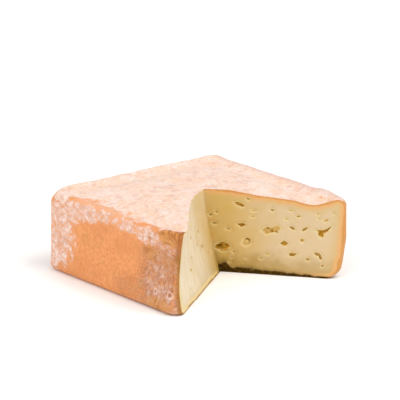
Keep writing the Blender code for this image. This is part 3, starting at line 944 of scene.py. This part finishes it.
def washed_rind(colours):
    """Washed rind, rubbed with brine: a moist orange smear under a dry, dusty white bloom."""
    made, tree, shader, place = new_material("washed_rind")
    look = {name: noise_at(tree, place, *row) for name, row in RIND_NOISE.items()}
    mark = marks(tree, "smear", "flush", "bloom", "web", "scratched", "brown", "from_cut", "top")
    x, y, z = add_node(tree, "ShaderNodeSeparateXYZ", {0: place}).node.outputs

    # The smear: orange, redder and browner where the wash lay longest
    side = coats(tree, colours.orange, colours, look, WASH_COATS)
    side = coats(tree, side, colours, look, SMEAR_COATS, mark["smear"])
    side = coat(tree, side, colours.flush, mark["flush"], 0.75)

    # The bloom: a thin ground with dusty specks on it, in patches with ragged edges
    ragged = uneven(tree, mark["bloom"], swing(look["mottle"], 0.4))
    ragged = uneven(tree, ragged, swing(look["dust"], 0.35))
    ground = share_of(tree, (ragged, 0.15, 1.1), (mark["bloom"], 0, 0.3))
    side = coat(tree, side, colours.thin_bloom, ground, (mark["smear"], 0, 1, 0.92, 0.3))
    side = coats(tree, side, colours, look, BLOOM_COATS, ground)
    specks = share_of(tree, ground, (look["flakes"], 0.38, 0.62), (look["mottle"], 0.4, 0.6, 0.4, 1))

    # Its veins, with the old smear in the gaps between them, its scratches and its rings
    vein = share_of(tree, (off_line(tree, look["crooked"], 0.5), 0, 0.05, 0.6, 0))
    web = share_of(tree, vein, (look["grain"], 0.35, 0.55, 0.3, 1), mark["web"])
    side = coat(tree, side, colours.brown, (look["crooked"], 0.52, 0.68, 0, 0.6), mark["web"])
    scratches = share_of(tree, (look["scratches"], 0.54, 0.64), mark["scratched"])
    white = share_of(tree, strongest(tree, specks, web, scratches), (mark["smear"], 0, 1, 0.82, 0.3))
    side = coat(tree, side, colours.bloom, white)
    side = ringed(tree, side, colours, look, place)

    # Dried patches, with strokes that fan out, and the darker edges, which are partly painted shade
    side = coat(tree, side, colours.ochre, mark["brown"], 0.9)
    side = coat(tree, side, colours.brown, mark["brown"], (fanned(tree, place), 0.46, 0.6, 0, 0.85))
    # Partly painted shade: the rind along the left cut, where the corner turns away
    wide = share_of(tree, (mark["from_cut"], *WIDE_EDGE, 1, 0), (z, *WIDE_EDGE_ABOVE))
    edge = strongest(tree, (mark["from_cut"], *DRIED_AND_SHADED_EDGE, 1, 0), wide)
    edge = share_of(tree, edge, (x, *DRIED_AND_SHADED_EDGE_ENDS, 1, 0), (look["mottle"], 0.35, 0.6, 0.7, 1))
    side = coat(tree, side, coat(tree, colours.rind_ochre, colours.brown, (z, *BROWN_EDGE_ABOVE)), edge)
    # Partly painted shade: browner rind by the right corner
    side = coat(tree, side, colours.rind_edge, (x, *RIGHT_EDGE_X), (y, *RIGHT_EDGE_Y, 0, 0.85))
    # Painted shade: darker ochre rind towards the foot on the right
    side = coat(tree, side, colours.rind_ochre, (z, *RIND_FOOT_SHADE_Z, 0.7, 0), (x, *RIND_FOOT_SHADE_X))

    # The top: pale and dusty, with faint streaks from the rack, orange clouds and grey veins
    top = coats(tree, colours.peach, colours, look, TOP_COATS)
    top = coat(tree, top, colours.lilac_bloom, vein, 0.5)
    # Partly painted shade: a greyer far rim on the right and at the back
    top = coat(tree, top, colours.lilac_bloom, strongest(tree, (x, *FAR_RIM_X), (y, *FAR_RIM_Y)), 0.5)
    top = coat(tree, top, colours.flush, (mark["brown"], 0, 0.5, 0, 0.8))
    zone = share_of(tree, (mark["top"], 0, 0.1), (mark["top"], 0.9, 1, 1, 0))
    rough = uneven(tree, share_of(tree, swing(look["patchy"], 0.6)), swing(look["dust"], 0.35))
    passed = uneven(tree, mark["top"], rough, zone)
    passed = uneven(tree, passed, mark["brown"], -0.7)

    layers = (look["mottle"], 0.45 * MM, 0.6), (look["dust"], 0.2 * MM, 0.6), (white, 0.12 * MM, 0.5)
    inputs = {
        "Base Color": coat(tree, side, top, (passed, 0.05, 0.9)),
        "Roughness": share_of(tree, (white, 0, 1, 0.5, 0.8)),
        "Normal": bumps(tree, *layers),
        "Subsurface Weight": 0.12,
        "Subsurface Radius": (2.0, 1.0, 0.5),
        "Subsurface Scale": 1 * MM,
    }
    fill(tree, shader, inputs)
    return made


def ripe_paste(colours):
    """Ripe paste of a soft cheese, cut with a knife: smooth, supple and a little moist."""
    made, tree, shader, place = new_material("ripe_paste")
    look = {name: noise_at(tree, place, *row) for name, row in PASTE_NOISE.items()}
    mark = marks(tree, "left_cut", "rind", "from_tip", "band", "from_eye")
    x, _, z = add_node(tree, "ShaderNodeSeparateXYZ", {0: place}).node.outputs
    on_left = mark["left_cut"]
    rind = uneven(tree, mark["rind"], swing(look["blotch"], 0.2))

    # Riper, more golden paste by the rind and in blotches; painted shade makes it golden by the tip, in the
    # notch's corner, and darker towards the foot
    # The left cut is paler than the right one
    paste = coat(tree, colours.paste, colours.pale_paste, on_left)
    from_tip = share_of(tree, mark["from_tip"], (on_left, 0, 1, 1, 1.15))
    # Painted shade: golden paste by the tip, in the notch's corner
    tip_shade = share_of(tree, (from_tip, 0, TIP_SHADE_REACH, 0.9, 0), (on_left, 0, 1, 1, 0.8))
    ripe = strongest(tree, tip_shade, (rind, 1.0, 3.6, 0.35, 0))
    ripe = uneven(tree, ripe, (look["blotch"], 0.35, 0.75, -0.06, 0.16))
    paste = coat(tree, paste, colours.golden_paste, ripe)
    # Painted shade: the paste darkens towards the foot, most by the tip and least on the left cut
    height = uneven(tree, z, swing(look["blotch"], FOOT_SHADE_SWING))
    dry = share_of(tree, (height, *FOOT_SHADE_HEIGHT, 0.9, 0), (on_left, 0, 1, 1, 0.25))
    paste = coat(tree, paste, colours.foot_shade_paste, dry, (from_tip, *FOOT_SHADE_FADES, 1, 0.6))
    paste = coat(tree, paste, colours.golden_paste, (look["bands"], 0.4, 0.66, 0, 0.26), on_left)

    # The rind in section: a paler layer that fades into the paste, then its outer skin
    # Painted contact shadow, with the skin's own browner tone, darkens the rind in section at the foot
    low = share_of(tree, (z, *LOW_RIND_Z, 0.7, 0), (on_left, 0, 1, 1, 0), (x, *LOW_RIND_X, 1, 0))
    for on_right_cut, on_left_cut, *limits in RIND_LAYERS:
        layer = coat(tree, getattr(colours, on_right_cut), getattr(colours, on_left_cut), on_left)
        layer = coat(tree, layer, colours.band_olive, low)
        paste = coat(tree, paste, layer, (rind, *limits, 0.9, 0))

    # The dark band at the foot, dried rind darkened with painted contact shadow, and the pale lips of the
    # eyes, partly painted highlight
    # Partly painted contact shadow: the band is dried rind at the foot, darkened
    band = uneven(tree, mark["band"], swing(look["clump"], 0.15), (mark["band"], 0, 0.15))
    paste = coat(tree, paste, colours.band_olive, (band, 0.05, 0.5, 0, 0.6))
    dried = share_of(tree, (band, 0.42, 0.62))
    dark = coat(tree, colours.band, colours.band_olive, (look["curd"], 0.52, 0.7, 0, 0.4))
    paste = coat(tree, paste, dark, dried)
    # Partly painted highlight: a pale ring of the lining's colour round each eye
    lip = share_of(tree, (mark["from_eye"], *LIP_WIDTH, 1, 0))
    paste = coat(tree, paste, colours.eye_lip, lip, 0.4)

    sunk = share_of(tree, lip, -1)
    layers = (look["bands"], 0.4 * MM, 0.12), (sunk, 0.5 * MM, 0.8), (look["curd"], 0.12 * MM, 0.5)
    inputs = {
        "Base Color": paste,
        "Roughness": strongest(tree, (look["curd"], *NOISE_RANGE, 0.42, 0.55), share_of(tree, dried, 0.9)),
        "Specular IOR Level": share_of(tree, (dried, 0, 1, 0.5, 0.05)),
        "Normal": bumps(tree, *layers),
        "Subsurface Weight": 0.25,
        "Subsurface Radius": (3.0, 1.8, 0.8),
        "Subsurface Scale": 1 * MM,
    }
    fill(tree, shader, inputs)
    return made


def eye_lining(colours):
    """The moist skin of a gas hole in ripe cheese: amber and shiny, darkened with painted shade at the
    bottoms of deep eyes.
    """
    made, tree, shader, place = new_material("eye_lining")
    curd = noise_at(tree, place, *LINING_NOISE)
    depth = uneven(tree, marks(tree, "from_cut")["from_cut"], swing(curd, 0.4))
    inputs = {
        "Base Color": coats(tree, colours.eye_lip, colours, {"depth": depth}, LINING_COATS),
        "Roughness": share_of(tree, (curd, *NOISE_RANGE, 0.3, 0.45)),
        "Normal": bumps(tree, (curd, 0.15 * MM, 0.5)),
        "Subsurface Weight": 0.3,
        "Subsurface Radius": (1.5, 1.2, 0.4),
        "Subsurface Scale": 1 * MM,
    }
    fill(tree, shader, inputs)
    return made


def matt_floor(colours):
    """A matt painted studio floor, with the faint unevenness of a roller."""
    made, tree, shader, place = new_material("matt_floor")
    cloud, stipple = [noise_at(tree, place, *row) for row in FLOOR_NOISE]
    inputs = {
        "Base Color": coat(tree, colours.floor, (1, 1, 1, 1), (cloud, *NOISE_RANGE, 0, 0.5)),
        "Roughness": 0.9,
        "Normal": bumps(tree, (stipple, 0.05 * MM, 0.2)),
    }
    fill(tree, shader, inputs)
    return made


class CHEESE_OT_cut_cheese(bpy.types.Operator):
    """Makes the cheese with its quarter cut out, its eyes and its finishes"""

    bl_idname = "cheese.cut_cheese"
    bl_label = "Cheese with a quarter cut out"

    def execute(self, context):
        sizes, colours = context.scene.cheese_sizes, context.scene.cheese_colours
        noise.seed_set(NOISE_SEED)
        materials = washed_rind(colours), ripe_paste(colours), eye_lining(colours)
        whole = whole_cheese(sizes, materials)
        quarter = missing_quarter(sizes, materials)
        layers = [{side: chosen_eyes(sizes, side) for side in EYES}]
        layers += [{"right": [scaled_eye(*eye) for eye in layer]} for layer in DEEPER_EYES]
        eyes = [lens_cutter(sizes, layer, materials) for layer in layers]
        for cutter in (quarter, *eyes):
            cut_away(whole, cutter)
        cheese = applied(whole, "cut_cheese")
        shift = centring_shift(cheese)
        for thing in (cheese, whole, quarter, *eyes):
            thing.data.transform(Matrix.Translation(shift))
        mark_patterns(sizes, cheese, whole, quarter, eyes)
        for helper in (whole, quarter, *eyes):
            bpy.data.objects.remove(helper)
        cheese.data.shade_smooth()
        cheese.data.set_sharp_from_angle(angle=SHARP_ANGLE)
        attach(cheese, "root")
        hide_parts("cheese")
        return {"FINISHED"}


def add_light(name, towards, distance, size, power):
    """A square soft light, towards a direction from the cheese, facing it."""
    data = bpy.data.lights.new(name, "AREA")
    data.size = size
    data.energy = power
    made = add_to_scene(name, data)
    made.location = Vector(towards).normalized() * distance
    made.rotation_euler = (-made.location).to_track_quat("-Z", "Y").to_euler()


class CHEESE_OT_studio(bpy.types.Operator):
    """Sets the floor, the lights, the sky and the camera"""

    bl_idname = "cheese.studio"
    bl_label = "Pale studio"

    def execute(self, context):
        scene = context.scene
        mesh = bmesh.new()
        bmesh.ops.create_circle(mesh, cap_ends=True, radius=FLOOR_RADIUS, segments=FLOOR_CORNERS)
        bmesh.ops.translate(mesh, verts=mesh.verts, vec=(0, 0, -FLOOR_DROP))
        add_object("studio_floor", mesh, [matt_floor(scene.cheese_colours)])
        scene.world = bpy.data.worlds.new("studio_sky")
        scene.world.use_nodes = True
        sky = scene.world.node_tree.nodes["Background"]
        sky.inputs["Color"].default_value = (1, 1, 1, 1)
        sky.inputs["Strength"].default_value = SKY_STRENGTH
        for light in LIGHTS:
            add_light(*light)
        data = bpy.data.cameras.new("camera")
        data.lens = CAMERA_LENS
        data.sensor_width = CAMERA_SENSOR
        data.clip_start = CAMERA_CLIP
        camera = add_to_scene("camera", data)
        camera.location = CAMERA_PLACE
        camera.rotation_euler = (math.pi / 2 - CAMERA_PITCH, 0, -CAMERA_HEADING)
        scene.camera = camera
        scene.view_settings.view_transform = "Standard"
        return {"FINISHED"}


class CHEESE_PT_panel(bpy.types.Panel):
    """Lists the cheese, its studio, its sizes and its colours"""

    bl_idname = "CHEESE_PT_panel"
    bl_label = "Cheese with a quarter cut out"
    bl_space_type = "VIEW_3D"
    bl_region_type = "UI"
    bl_category = "Cheese"

    def draw(self, context):
        for operator in (CHEESE_OT_cut_cheese, CHEESE_OT_studio):
            self.layout.operator(operator.bl_idname)
        for group in (context.scene.cheese_sizes, context.scene.cheese_colours):
            column = self.layout.column()
            for name in group.__annotations__:
                column.prop(group, name)


CLASSES = (CheeseSizes, CheeseColours, CHEESE_OT_cut_cheese, CHEESE_OT_studio, CHEESE_PT_panel)


def register():
    for one in CLASSES:
        bpy.utils.register_class(one)
    bpy.types.Scene.cheese_sizes = bpy.props.PointerProperty(type=CheeseSizes)
    bpy.types.Scene.cheese_colours = bpy.props.PointerProperty(type=CheeseColours)


def unregister():
    del bpy.types.Scene.cheese_colours
    del bpy.types.Scene.cheese_sizes
    for one in reversed(CLASSES):
        bpy.utils.unregister_class(one)


def main():
    register()
    bpy.ops.cheese.cut_cheese()
    bpy.ops.cheese.studio()


if __name__ == "__main__":
    main()
